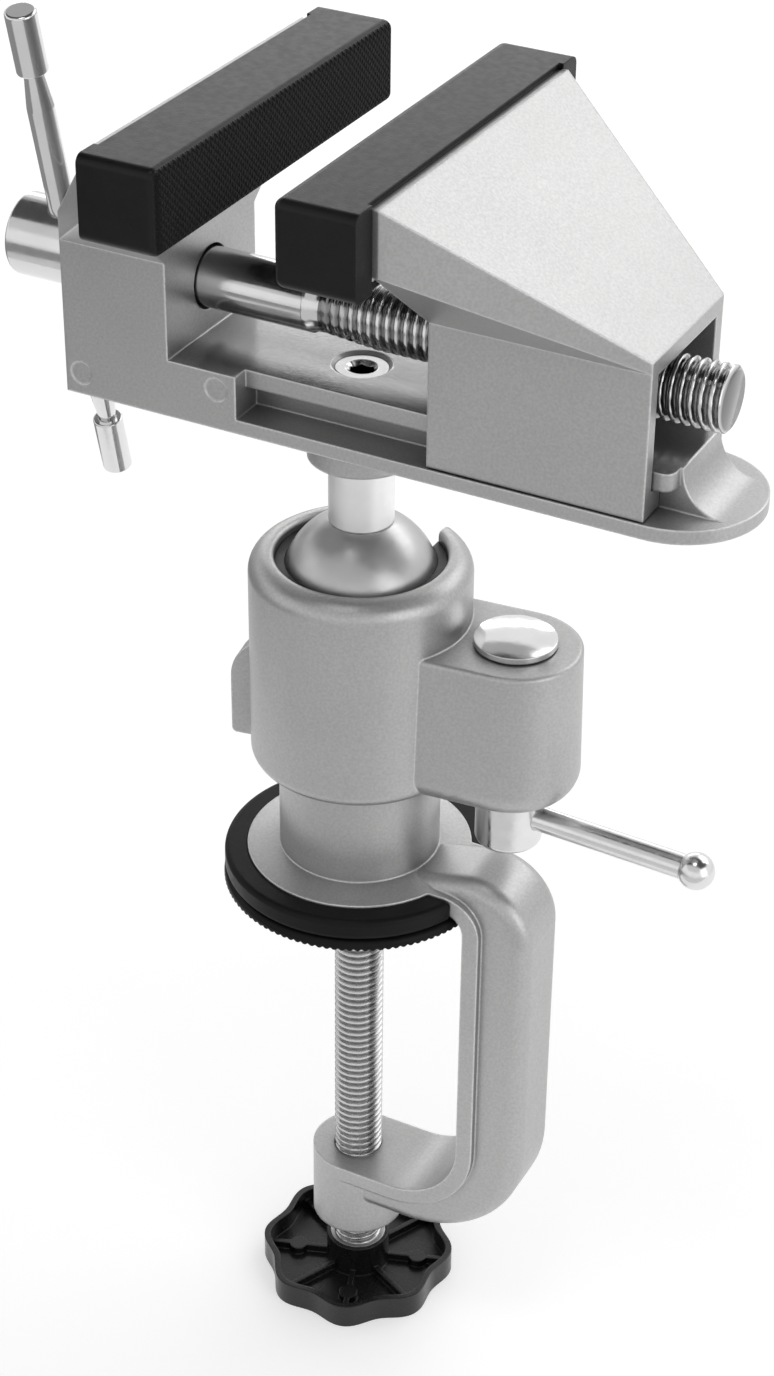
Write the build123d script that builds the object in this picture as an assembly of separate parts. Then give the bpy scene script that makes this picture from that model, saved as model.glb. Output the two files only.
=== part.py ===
from build123d import *
import math
import os

# Ball vise with a table clamp, in millimetres.
# Frame: the origin is where the axis of the ball and of the clamp screw crosses the table's top,
# which is the underside of the upper pad. +X points to the tip of the vise's lead screw and to the
# spine of the clamp, +Y points to the notch in the ball socket, and +Z points up.

# ---------------------------------------------------------------- clamp frame
PAD_WEB = 1.3            # rubber under the disc
DISC_R = 21.1            # round foot that presses on the table
DISC_T = 3.3
DISC_RISE = 0.9          # the foot's top rises by this much towards the column
FLANGE_W = 18.2          # flat band of the clamp's T section
THROAT_REACH = 26.2      # from the clamp screw to the band
THROAT_H = 70.6          # from the table's top to the screw boss
THROAT_TOP_R = 4.2
THROAT_LOW_R = 15.0
RIB_W = 15.2             # thick rib outside the band
RIB_T = 9.2
RIB_RISE = 3.4           # rib above the foot at the top corner
RIB_LOW_T = 6.4
RIB_TOP_R = 12.0
RIB_LOW_R = 25.0
RIB_EDGE_R = 3.2
RIB_INSET = 1.0          # how deep the rib sinks into the band
RIB_EASE = 4.0           # where the rib's top starts to rise
RIB_EASE_R = 6.0
BOSS_R = 9.1
BOSS_LEN = 16.7
COLUMN_R = 15.0
COLUMN_TOP_R = 2.2       # where the column runs into the cup
HOUSING_R = 20.1
HOUSING_LOW = 25.2
HOUSING_LOW_R = 2.5
RIM_ABOVE_BALL = 6.4
RIM_OUT_R = 3.6
RIM_IN_R = 0.8
NOTCH_HALF = 9.0         # half the width of the notch that the neck lies in
FIN_T = 4.0
FIN_REACH = 24.4
FIN_TOP = 46.5
FIN_ANGLE = 190.0
FIN_TOP_R = 9.0
FIN_LOW_R = 1.0

# ---------------------------------------------------------------- ball and liner
BALL_R = 14.25
BALL_Z = 60.8
LINER_T = 1.1
LINER_TOP = 4.7          # liner's edge above the ball's centre
LINER_FLOOR = 1.1
NECK_R = 5.85
BOLT_R = 3.0
BOLT_HEAD_R = 4.7
BOLT_SINK_R = 5.3        # the countersink in the rail round the head
BOLT_HEX = 4.0
BOLT_MOUTH_R = 2.8       # the socket's chamfered mouth
BOLT_HEX_DEPTH = 2.6
BOLT_IN_BALL = 10.5
NECK_CHAMFER = 0.4

# ---------------------------------------------------------------- locking cam and lever
LUG_R = 12.1
LUG_REACH = 29.5
LUG_ANGLE = 5.4
LUG_TOP = 55.2
LUG_EDGE_R = 0.8
LUG_LOW_R = 5.0
LUG_DRAFT = 1.2          # degrees; the lug is wider at its foot
CAM_R = 4.5
CAM_THROW = 0.5
CAM_BELOW_BALL = 10.8    # height of the shoe under the ball's centre
CAM_WAIST = 9.0          # height of the eccentric waist
CAM_WAIST_R = 3.9
CAM_HEAD_R = 7.5
CAM_HEAD_T = 1.1
CAM_DOME = 0.9
SHOE_R = 3.4
SHOE_GAP = 0.06
HUB_R = 6.2
HUB_H = 11.3
ROD_R = 2.35
ROD_REACH = 37.6
ROD_DROP = 5.1           # from the hub's top to the rod's axis
HUB_CHAMFER = 1.0
LEVER_ANGLE = -2.5
TIP_R = 3.45

# ---------------------------------------------------------------- pads and clamp screw
BOOT_R = 25.4
BOOT_LIP = 0.4           # the boot's rim stands this far under the disc's top
BOOT_EDGE_R = 1.0
PAD_R = 25.6
PAD_TOP_R = 1.4
PAD_LOW_R = 0.5
PLATE_WEB = 0.9          # rubber over the pad plate
PAD_GAP = 0.2            # between the two pads when the clamp is closed
PLATE_R = 22.4
PLATE_T = 1.3
COLLAR_TOP_R = 6.3
COLLAR_LOW_R = 5.4
COLLAR_H = 4.2
COLLAR_LIP = 1.3
TIP_DISC_R = 4.2
TIP_NECK_R = 3.2
CLAMP_MAJOR_R = 4.75
CLAMP_PITCH = 1.5
THREAD_CHAMFER = 0.3
KNOB_HUB_R = 6.4
KNOB_HUB_GAP = 7.3       # from the boss to the knob's hub
KNOB_DROP = 3.4          # from the top of the hub to the rim
KNOB_H = 5.3
KNOB_R = 18.7
KNOB_LOBES = 8
KNOB_WAVE = 0.9
KNOB_WALL = 1.3
KNOB_RIB_DROP = 2.4      # from the rim down to the tops of ribs and posts
KNOB_RIB = 1.1
KNOB_POST_R = 1.9
KNOB_POST_REACH = 12.5
KNOB_PHASE = -3.4        # a valley of the rim, in degrees from +X
INSERT_R = 5.6
INSERT_H = 6.0
SCREW_SHORT = 1.0        # the clamp screw ends this far inside the knob

# ---------------------------------------------------------------- vise head
PLATE_ABOVE_BALL = 32.5
BASE_T = 2.6
BODY_HALF = 15.0
NOSE_X = 58.8            # centre of the round nose
BLOCK_OUT = -50.1
BLOCK_H = 28.4
BLOCK_SLOPE_H = 33.5     # height of the wing's outer edge
RAIL_TOP = 10.6
RAIL_HALF = 11.5
RAIL_FLANGE_T = 3.2
RAIL_END = 62.0
RAIL_END_R = 2.0
WEB_HALF = 8.0
WEB_END = 62.5
GUSSET_R = 7.6
GROOVE_START = -16.2
NECK_BOSS_R = 9.5
NECK_BOSS_H = 6.6
EJECTOR_R = 2.1
EJECTOR_DEPTH = 0.2
OUTER_MARK = (3.1, 4.0)  # from the block's outer end and the base's underside
INNER_MARK = (3.8, 7.4)  # from the rail groove's start and the base's underside
EDGE_R = 0.7

# ---------------------------------------------------------------- jaws
JAW_W = 75.0
JAW_GAP = 20.4           # between the covers, as photographed
COVER_WALL = 2.0
COVER_FRONT = 3.0
COVER_DEPTH = 14.4       # at the end walls
COVER_STEP = 0.8         # the top's back edge stands this far in front of the ears at its ends
COVER_H = 14.7
COVER_LOW = 41.7         # cover's lower edge above the base plate's underside
COVER_LIP = 0.9
COVER_EDGE_R = 1.6
COVER_FIT = 0.15
FIXED_GRIP_X = -15.0
WING_HALF = 34.0
WING_LOW = 44.5
WING_EDGE = 1.0          # upright band between the wing's face and its taper
WING_TOP = 55.6
JAW_BODY_L = 38.9
JAW_BODY_HALF = 14.6
JAW_BODY_LOW = 2.9
JAW_BODY_H = 29.0
JAW_NOSE_TOP = 31.0
JAW_WALL = 2.6
JAW_ROOF = 2.9
JAW_BACK = 13.0
SLIDE_FIT = 0.3

# ---------------------------------------------------------------- lead screw and tommy bar
SCREW_H = 20.3
SCREW_MAJOR_R = 5.7
SCREW_PITCH = 1.75
SHANK_R = 5.35
SHANK_NECK_R = 4.9
SHANK_NECK_L = 2.0
SHANK_TAPER = 0.6
THREAD_START = -6.0
THREAD_END = 67.0
SCREW_HEAD_R = 7.35
SCREW_HEAD_L = 16.7
SCREW_HEAD_GAP = 0.3
HEAD_CHAMFER = 0.6
HEAD_INNER_CHAMFER = 0.4
BORE_MOUTH = 0.5
BORE_MOUTH_L = 3.0
KEEPER_X = -40.0
KEEPER_R = 2.5
KEEPER_L = 9.0
KEEPER_TIP_R = 1.5
KEEPER_GROOVE = 0.9
NUT_R = 8.0
NUT_L = 11.0
BAR_X = -58.2
BAR_R = 2.4
BAR_LEN = 97.8
BAR_SLID = 2.3           # how far the bar has slid down in the photo
BAR_LEAN = 13.35
BAR_NECK_R = 1.6
BAR_NECK_L = 7.0
CAP_R = 2.75
CAP_L = 11.6
CAP_INNER_CHAMFER = 0.3
CAP_OUTER_CHAMFER = 0.5
CAP_END_T = 1.0          # metal between the bar's end and the cap's

# ---------------------------------------------------------------- fits
RUNNING = 0.08           # radial clearance of a shaft in its bore
SEAT = 0.3               # gap between faces that rub
FIXED_FIT = 0.02         # radial gap of pieces that are fixed together
THREAD_ANGLE = 60.0
FLAT_TIP = 0.2           # crest and root flats, as a share of the pitch
OVER = 1.0               # how far cutting and joining solids reach past a face
CLOSE = 0.01             # tolerance for picking edges

# ---------------------------------------------------------------- worked-out places
DISC_TOP = PAD_WEB + DISC_T
RIM_Z = BALL_Z + RIM_ABOVE_BALL
SOCKET_R = BALL_R + LINER_T + RUNNING
SOCKET_FLOOR = BALL_Z - BALL_R - LINER_FLOOR - 2 * RUNNING
BOSS_TOP = -THROAT_H
BOSS_LOW = BOSS_TOP - BOSS_LEN
BAND_OUT = THROAT_REACH + DISC_T
RIB_OUT = BAND_OUT + RIB_T
CAM_Z = BALL_Z - CAM_BELOW_BALL
HUB_TOP = HOUSING_LOW - SEAT
ROD_Z = HUB_TOP - ROD_DROP
LOW_PAD_TOP = -PAD_GAP
PLATE_TOP = LOW_PAD_TOP - PLATE_WEB
PLATE_LOW = PLATE_TOP - PLATE_T
COLLAR_LOW = PLATE_LOW - COLLAR_H
KNOB_TOP = BOSS_LOW - KNOB_HUB_GAP
KNOB_RIM = KNOB_TOP - KNOB_DROP
KNOB_LOW = KNOB_RIM - KNOB_H
HEAD_Z = BALL_Z + PLATE_ABOVE_BALL
SCREW_Z = HEAD_Z + SCREW_H
RAIL_Z = HEAD_Z + RAIL_TOP
MOVING_GRIP_X = FIXED_GRIP_X + JAW_GAP
MOVING_FACE_X = MOVING_GRIP_X + COVER_DEPTH
FIXED_FACE_X = FIXED_GRIP_X - COVER_DEPTH
JAW_END_X = MOVING_FACE_X + JAW_BODY_L
NECK_TOP = HEAD_Z - NECK_BOSS_H
EJECTOR_MARKS = ((BLOCK_OUT + OUTER_MARK[0], HEAD_Z + OUTER_MARK[1]),
                 (GROOVE_START - INNER_MARK[0], HEAD_Z + INNER_MARK[1]))
BALL_FLAT = math.sqrt(BALL_R ** 2 - NECK_R ** 2)
BOLT_HOLE_R = BOLT_R + RUNNING

BASE = (Align.CENTER, Align.CENTER, Align.MIN)


# ---------------------------------------------------------------- shared shapes
def upright(radius, low, high, x=0.0, y=0.0):
    """A cylinder between two heights."""
    return Pos(x, y, low) * Cylinder(radius, high - low, align=BASE)


def cone(low_radius, high_radius, low, high, x=0.0, y=0.0):
    return Pos(x, y, low) * Cone(low_radius, high_radius, high - low, align=BASE)


def along_x(radius, start, end, z, y=0.0):
    """A cylinder along X between two places."""
    return Pos(start, y, z) * Rot(0, 90, 0) * Cylinder(radius, end - start, align=BASE)


def block(x0, x1, y0, y1, z0, z1):
    low = (Align.MIN, Align.MIN, Align.MIN)
    return Pos(x0, y0, z0) * Box(x1 - x0, y1 - y0, z1 - z0, align=low)


def rounded_face(corners):
    """A face in the XZ plane from corners (x, z, radius), each rounded by its radius."""
    count = len(corners)
    edges, ends = [], []
    for i, (x, z, radius) in enumerate(corners):
        here = Vector(x, 0, z)
        back = (Vector(corners[i - 1][0], 0, corners[i - 1][1]) - here).normalized()
        ahead_corner = corners[(i + 1) % count]
        ahead = (Vector(ahead_corner[0], 0, ahead_corner[1]) - here).normalized()
        if radius == 0:
            ends.append((here, here))
            continue
        half = math.radians(back.get_angle(ahead)) / 2
        reach = radius / math.tan(half)
        middle = here + (back + ahead).normalized() * (radius / math.sin(half) - radius)
        ends.append((here + back * reach, here + ahead * reach))
        edges.append(ThreePointArc(here + back * reach, middle, here + ahead * reach))
    for i in range(count):
        start, end = ends[i][1], ends[(i + 1) % count][0]
        if (end - start).length > 1e-6:
            edges.append(Line(start, end))
    return Face(Wire(edges))


def slab(corners, half_width):
    """Extrudes a rounded XZ outline to both sides of the XZ plane."""
    return extrude(rounded_face(corners), half_width, dir=(0, 1, 0), both=True)


def turned(corners):
    """Turns a rounded outline in the XZ plane about Z."""
    return revolve(rounded_face(corners), Axis.Z)


def polar(reach, angle):
    a = math.radians(angle)
    return reach * math.cos(a), reach * math.sin(a)


def thread_outline(major, depth, pitch, low, high):
    """The outline of a screw whose thread is drawn as rings, counted down from its chamfered tip."""
    flat = pitch * FLAT_TIP
    flank = (pitch - 2 * flat) / 2
    tip = high - THREAD_CHAMFER
    turns = int((tip - low - flat) / pitch)
    points = [(major - depth, low)]
    for i in range(turns, -1, -1):
        crest = tip - i * pitch
        points += [(major - depth, crest - flat - flank), (major, crest - flat), (major, crest)]
        if i > 0:
            points.append((major - depth, crest + flank))
    points.append((major - THREAD_CHAMFER, high))
    return points


def thread_depth(pitch):
    flank = pitch * (1 - 2 * FLAT_TIP) / 2
    return flank / math.tan(math.radians(THREAD_ANGLE / 2))


def threaded_rod(major, pitch, low, high):
    outline = thread_outline(major, thread_depth(pitch), pitch, low, high)
    corners = [(0, low)] + outline + [(0, high)]
    wire = Polyline([Vector(r, 0, z) for r, z in corners], close=True)
    return revolve(Face(Wire(wire.edges())), Axis.Z)


# ---------------------------------------------------------------- clamp frame
def clamp_band():
    """The flat band of the C, from the foot round to the screw boss."""
    half = FLANGE_W / 2
    low = BOSS_TOP - DISC_T
    outer = slab([(0, DISC_TOP, 0), (BAND_OUT, DISC_TOP, THROAT_TOP_R + DISC_T),
                  (BAND_OUT, low, THROAT_LOW_R + DISC_T), (0, low, 0)], half)
    inner = slab([(-OVER, PAD_WEB, 0), (THROAT_REACH, PAD_WEB, THROAT_TOP_R),
                  (THROAT_REACH, BOSS_TOP, THROAT_LOW_R), (-OVER, BOSS_TOP, 0)], half + OVER)
    return outer - inner


def clamp_rib():
    """The thick rib that stiffens the band from outside."""
    top = DISC_TOP + RIB_RISE
    low = BOSS_TOP - DISC_T - RIB_LOW_T
    inset = RIB_INSET
    outer = slab([(COLUMN_R - RIB_EASE, DISC_TOP, 0), (BAND_OUT - RIB_EASE, top, RIB_EASE_R),
                  (RIB_OUT, top, RIB_TOP_R),
                  (RIB_OUT, low, RIB_LOW_R), (0, low, 0), (0, DISC_TOP, 0)], RIB_W / 2)
    edges = outer.edges().filter_by(lambda e: abs(abs(e.center().Y) - RIB_W / 2) < CLOSE)
    edges = edges.filter_by(lambda e: e.center().X > COLUMN_R and e.center().Z != DISC_TOP)
    outer = fillet(edges, RIB_EDGE_R)
    inner = slab([(-OVER, DISC_TOP - inset, 0),
                  (BAND_OUT - inset, DISC_TOP - inset, THROAT_TOP_R + DISC_T - inset),
                  (BAND_OUT - inset, BOSS_TOP - DISC_T + inset, THROAT_LOW_R + DISC_T - inset),
                  (-OVER, BOSS_TOP - DISC_T + inset, 0)], RIB_W)
    return outer - inner


def socket_housing():
    """The cup round the ball, its column and the foot, without the openings."""
    cup = turned([(0, DISC_TOP - OVER, 0), (COLUMN_R, DISC_TOP - OVER, 0),
                  (COLUMN_R, HOUSING_LOW, COLUMN_TOP_R), (HOUSING_R, HOUSING_LOW, HOUSING_LOW_R),
                  (HOUSING_R, RIM_Z, RIM_OUT_R), (0, RIM_Z, 0)])
    disc = turned([(0, PAD_WEB, 0), (DISC_R, PAD_WEB, 0), (DISC_R, DISC_TOP, 0),
                   (COLUMN_R, DISC_TOP + DISC_RISE, 0), (0, DISC_TOP + DISC_RISE, 0)])
    return cup + disc


def cam_lug():
    """The lug beside the cup that holds the cam pin, tapered like the casting."""
    plan = Pos(LUG_REACH, 0) * Circle(LUG_R) + Pos(LUG_REACH / 2, 0) * Rectangle(LUG_REACH, 2 * LUG_R)
    lug = Pos(0, 0, LUG_TOP) * extrude(plan, LUG_TOP - HOUSING_LOW, dir=(0, 0, -1), taper=-LUG_DRAFT)
    edges = lug.edges().filter_by(lambda e: e.center().X > 1)
    lug = fillet(edges.filter_by(lambda e: abs(e.center().Z - HOUSING_LOW) < CLOSE), LUG_LOW_R)
    edges = lug.edges().filter_by(lambda e: e.center().X > 1)
    lug = fillet(edges.filter_by(lambda e: abs(e.center().Z - LUG_TOP) < CLOSE), LUG_EDGE_R)
    return Rot(0, 0, LUG_ANGLE) * lug


def lock_fin():
    """The upright fin on the far side of the cup."""
    corners = [(COLUMN_R, HOUSING_LOW, 0), (FIN_REACH, HOUSING_LOW, FIN_LOW_R),
               (FIN_REACH, FIN_TOP, FIN_TOP_R), (COLUMN_R, FIN_TOP, 0)]
    return Rot(0, 0, FIN_ANGLE) * slab(corners, FIN_T / 2)


def socket_openings():
    """The ball's bore, the notch for the neck, and the bores of the cam and its shoe."""
    bore = upright(SOCKET_R, SOCKET_FLOOR, RIM_Z + OVER)
    notch = block(-NOTCH_HALF, NOTCH_HALF, 0, HOUSING_R + OVER, BALL_Z, RIM_Z + OVER)
    notch += Pos(0, 0, BALL_Z) * Rot(-90, 0, 0) * Cylinder(NOTCH_HALF, HOUSING_R + OVER, align=BASE)
    x, y = polar(LUG_REACH, LUG_ANGLE)
    cam_bore = upright(CAM_R + RUNNING, HOUSING_LOW - OVER, LUG_TOP + OVER, x, y)
    shoe_bore = Rot(0, 0, LUG_ANGLE) * along_x(SHOE_R + RUNNING, 0, LUG_REACH, CAM_Z)
    return bore + notch + cam_bore + shoe_bore


def clamp_frame():
    frame = socket_housing() + clamp_rib() + clamp_band() + cam_lug() + lock_fin()
    frame += upright(BOSS_R, BOSS_LOW, BOSS_TOP)
    frame -= socket_openings()
    frame -= upright(CLAMP_MAJOR_R + RUNNING, BOSS_LOW - OVER, BOSS_TOP + OVER)
    rim = frame.edges().filter_by(GeomType.CIRCLE)
    rim = rim.filter_by(lambda e: abs(e.radius - SOCKET_R) < CLOSE)
    rim = rim.filter_by(lambda e: abs(e.vertices()[0].Z - RIM_Z) < CLOSE)
    return fillet(rim, RIM_IN_R)


def upper_pad():
    """The rubber boot that wraps the foot."""
    rim = DISC_TOP - BOOT_LIP
    boot = turned([(0, 0, 0), (BOOT_R, 0, BOOT_EDGE_R), (BOOT_R, rim, BOOT_EDGE_R), (0, rim, 0)])
    boot -= upright(DISC_R + RUNNING, PAD_WEB, rim + OVER)
    half = FLANGE_W / 2 + SEAT
    boot -= block(0, BOOT_R + OVER, -half, half, PAD_WEB, rim + OVER)
    return boot - block(DISC_R, BOOT_R + OVER, -half, half, -OVER, rim)


# ---------------------------------------------------------------- ball joint
def ball_liner():
    """The thin split cup between the ball and its bore."""
    low = SOCKET_FLOOR + RUNNING
    cup = upright(BALL_R + LINER_T, low, BALL_Z + LINER_TOP)
    cup -= Pos(0, 0, BALL_Z) * Sphere(BALL_R + RUNNING)
    slot = block(-NOTCH_HALF, NOTCH_HALF, 0, HOUSING_R, BALL_Z, RIM_Z)
    slot += Pos(0, 0, BALL_Z) * Rot(-90, 0, 0) * Cylinder(NOTCH_HALF, HOUSING_R, align=BASE)
    return cup - slot


def swivel_ball():
    ball = Pos(0, 0, BALL_Z) * Sphere(BALL_R)
    ball -= upright(BALL_R, BALL_Z + BALL_FLAT, BALL_Z + 2 * BALL_R)
    top = BALL_Z + BALL_FLAT
    return ball - upright(BOLT_R + FIXED_FIT, top - BOLT_IN_BALL - SEAT, top + OVER)


def ball_neck():
    low = BALL_Z + BALL_FLAT
    high = NECK_TOP - RUNNING
    return turned([(BOLT_HOLE_R, low, 0), (NECK_R - NECK_CHAMFER, low, 0), (NECK_R, low + NECK_CHAMFER, 0),
                   (NECK_R, high, 0), (BOLT_HOLE_R, high, 0)])


def ball_bolt():
    """The countersunk socket screw through the rail, the neck and into the ball."""
    top = RAIL_Z - (BOLT_SINK_R - BOLT_HEAD_R) + RUNNING
    shoulder = top - (BOLT_HEAD_R - BOLT_R)
    low = BALL_Z + BALL_FLAT - BOLT_IN_BALL
    bolt = turned([(0, low, 0), (BOLT_R, low, 0), (BOLT_R, shoulder, 0), (BOLT_HEAD_R, top, 0), (0, top, 0)])
    hexagon = RegularPolygon(BOLT_HEX / 2, 6, major_radius=False)
    socket = Pos(0, 0, top - BOLT_HEX_DEPTH) * extrude(hexagon, BOLT_HEX_DEPTH + OVER)
    mouth = cone(BOLT_HEX / 2, BOLT_MOUTH_R, top - (BOLT_MOUTH_R - BOLT_HEX / 2), top)
    return bolt - socket - mouth


# ---------------------------------------------------------------- locking lever
def cam_head():
    """The low domed head, turned from an outline that starts at its underside."""
    dome_r = (CAM_HEAD_R ** 2 + CAM_DOME ** 2) / (2 * CAM_DOME)
    top = CAM_HEAD_T + CAM_DOME
    mid_x = CAM_HEAD_R / 2
    mid_z = top - dome_r + math.sqrt(dome_r ** 2 - mid_x ** 2)
    rim = (CAM_HEAD_R, 0, CAM_HEAD_T)
    sides = Polyline((0, 0, top), (0, 0, 0), (CAM_HEAD_R, 0, 0), rim)
    dome = ThreePointArc(rim, (mid_x, 0, mid_z), (0, 0, top))
    return revolve(Face(Wire(sides.edges() + dome.edges())), Axis.Z)


def cam_pin():
    """The upright pin with its domed head, eccentric waist and cross hole for the rod."""
    x, y = polar(LUG_REACH, LUG_ANGLE)
    low = HUB_TOP - HUB_H
    waist_low = CAM_Z - CAM_WAIST / 2
    waist_high = CAM_Z + CAM_WAIST / 2
    pin = upright(CAM_R, low, waist_low) + upright(CAM_R, waist_high, LUG_TOP + SEAT)
    inward_x, inward_y = polar(LUG_REACH - CAM_THROW, LUG_ANGLE)
    pin = Pos(x, y, 0) * pin
    pin += upright(CAM_WAIST_R, waist_low, waist_high, inward_x, inward_y)
    return pin + Pos(x, y, LUG_TOP + SEAT) * cam_head() - rod_hole()


def lever_place(solid):
    """Moves a piece drawn along X from the cam's axis to the lever's place."""
    x, y = polar(LUG_REACH, LUG_ANGLE)
    return Pos(x, y, 0) * Rot(0, 0, LEVER_ANGLE) * solid


def rod_hole():
    return lever_place(along_x(ROD_R + FIXED_FIT, -CAM_R - SEAT, HUB_R + OVER, ROD_Z))


def lever_hub():
    x, y = polar(LUG_REACH, LUG_ANGLE)
    low = HUB_TOP - HUB_H
    hub = Pos(x, y, 0) * turned([(CAM_R + FIXED_FIT, low, 0), (HUB_R, low, HUB_CHAMFER), (HUB_R, HUB_TOP, 0),
                                 (CAM_R + FIXED_FIT, HUB_TOP, 0)])
    return hub - rod_hole()


def lever_rod():
    return lever_place(along_x(ROD_R, -CAM_R, ROD_REACH - TIP_R / 2, ROD_Z))


def lever_ball():
    """The round end pressed on the rod."""
    tip = Pos(ROD_REACH, 0, ROD_Z) * Sphere(TIP_R)
    tip -= along_x(ROD_R + FIXED_FIT, 0, ROD_REACH - TIP_R / 2 + FIXED_FIT, ROD_Z)
    return lever_place(tip)


def lock_shoe():
    """The short plunger between the cam's waist and the liner."""
    start = BALL_R + LINER_T + SHOE_GAP
    end = LUG_REACH - CAM_THROW - CAM_WAIST_R - SHOE_GAP
    return Rot(0, 0, LUG_ANGLE) * along_x(SHOE_R, start, end, CAM_Z)


# ---------------------------------------------------------------- clamp screw and pads
def lower_pad():
    """The rubber cap over the pad plate."""
    cap = turned([(0, PLATE_LOW, 0), (PAD_R, PLATE_LOW, PAD_LOW_R), (PAD_R, LOW_PAD_TOP, PAD_TOP_R),
                  (0, LOW_PAD_TOP, 0)])
    return cap - upright(PLATE_R + FIXED_FIT, PLATE_LOW - OVER, PLATE_TOP)


def pad_plate():
    return upright(PLATE_R, PLATE_LOW, PLATE_TOP)


def pad_collar():
    """The small cone under the plate that holds the screw's tip."""
    collar = cone(COLLAR_LOW_R, COLLAR_TOP_R, COLLAR_LOW, PLATE_LOW)
    collar -= upright(TIP_DISC_R + RUNNING, COLLAR_LOW + COLLAR_LIP, PLATE_LOW + OVER)
    return collar - upright(TIP_NECK_R + RUNNING, COLLAR_LOW - OVER, PLATE_LOW)


def clamp_screw():
    disc_low = COLLAR_LOW + COLLAR_LIP + RUNNING
    screw = threaded_rod(CLAMP_MAJOR_R, CLAMP_PITCH, KNOB_LOW + SCREW_SHORT, COLLAR_LOW - SEAT)
    screw += upright(TIP_NECK_R, COLLAR_LOW - SEAT, disc_low)
    return screw + upright(TIP_DISC_R, disc_low, PLATE_LOW - RUNNING)


def lobed_outline(inset, points_per_lobe=12):
    """A closed smooth curve round the knob's lobes."""
    points = []
    for i in range(KNOB_LOBES * points_per_lobe):
        angle = 360 * i / (KNOB_LOBES * points_per_lobe)
        wave = math.cos(math.radians(KNOB_LOBES * (angle - KNOB_PHASE)))
        points.append(polar(KNOB_R - KNOB_WAVE * wave - inset, angle))
    return Face(Wire(Spline(points, periodic=True)))


def hand_knob():
    """The moulded knob: lobed rim, floor, hub, ribs and posts, open towards the clamp."""
    floor = KNOB_LOW + KNOB_WALL
    knob = Pos(0, 0, KNOB_LOW) * extrude(lobed_outline(0), KNOB_H)
    knob -= Pos(0, 0, floor) * extrude(lobed_outline(KNOB_WALL), KNOB_H)
    knob += upright(KNOB_HUB_R, KNOB_LOW, KNOB_TOP)
    rib_top = KNOB_RIM - KNOB_RIB_DROP
    reach = KNOB_R + KNOB_WAVE - KNOB_WALL / 2
    for i in range(KNOB_LOBES):
        angle = KNOB_PHASE + 360 * (i + 0.5) / KNOB_LOBES
        rib = block(KNOB_HUB_R - OVER, reach, -KNOB_RIB / 2, KNOB_RIB / 2, KNOB_LOW, rib_top)
        knob += Rot(0, 0, angle) * rib
        if i % 2 == 0:
            x, y = polar(KNOB_POST_REACH, angle)
            knob += upright(KNOB_POST_R, KNOB_LOW, rib_top, x, y)
    knob -= upright(INSERT_R + FIXED_FIT, KNOB_TOP - INSERT_H, KNOB_TOP + OVER)
    return knob - upright(CLAMP_MAJOR_R + FIXED_FIT, KNOB_LOW - OVER, KNOB_TOP)


def knob_insert():
    """The threaded metal bush moulded into the knob's hub."""
    bush = upright(INSERT_R, KNOB_TOP - INSERT_H, KNOB_TOP)
    return bush - upright(CLAMP_MAJOR_R + FIXED_FIT, KNOB_TOP - INSERT_H - OVER, KNOB_TOP + OVER)


# ---------------------------------------------------------------- vise head
def wing(face_x, far_x, edge_top, foot_half, foot_top):
    """The solid that flares from the body's width at far_x to the jaw's width at face_x."""
    foot = HEAD_Z + foot_top - EDGE_R
    top, edge = HEAD_Z + WING_TOP, HEAD_Z + edge_top
    slope_x = face_x + math.copysign(WING_EDGE, far_x - face_x)
    side = slab([(face_x, foot, 0), (face_x, top, 0), (slope_x, top, 0), (far_x, edge, 0),
                 (far_x, foot, 0)], WING_HALF + OVER)
    plan = make_face(Polyline((face_x, -WING_HALF), (slope_x, -WING_HALF), (far_x, -foot_half),
                              (far_x, foot_half), (slope_x, WING_HALF), (face_x, WING_HALF), close=True))
    plan = Pos(0, 0, foot) * extrude(plan, top - foot)
    y0, y1 = foot_half, WING_HALF
    low, high = HEAD_Z + foot_top, HEAD_Z + WING_LOW
    front = Polyline((0, -y0, foot), (0, -y0, low), (0, -y1, high), (0, -y1, top + OVER),
                     (0, y1, top + OVER), (0, y1, high), (0, y0, low), (0, y0, foot), close=True)
    front = extrude(Face(Wire(front.edges())), 2 * abs(far_x - face_x), dir=(1, 0, 0), both=True)
    front = Pos(min(face_x, far_x), 0, 0) * front
    return side & plan & front


def jaw_plate(grip_x, towards):
    """The bar of the jaw inside its rubber cover; towards is +1 where the jaw faces +X."""
    low = HEAD_Z + COVER_LOW + COVER_WALL + COVER_FIT
    high = HEAD_Z + COVER_LOW + COVER_H - COVER_WALL / 2 - COVER_FIT
    front = grip_x - towards * (COVER_FRONT + COVER_FIT)
    back = grip_x - towards * (COVER_DEPTH - COVER_STEP - COVER_LIP - COVER_FIT)
    face = grip_x - towards * COVER_DEPTH
    x0, x1 = sorted((front, back))
    x2, x3 = sorted((back, face))
    plate = block(x0, x1, -JAW_W / 2, JAW_W / 2, low, high)
    return plate + block(x2, x3, -WING_HALF, WING_HALF, low, high)


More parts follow.
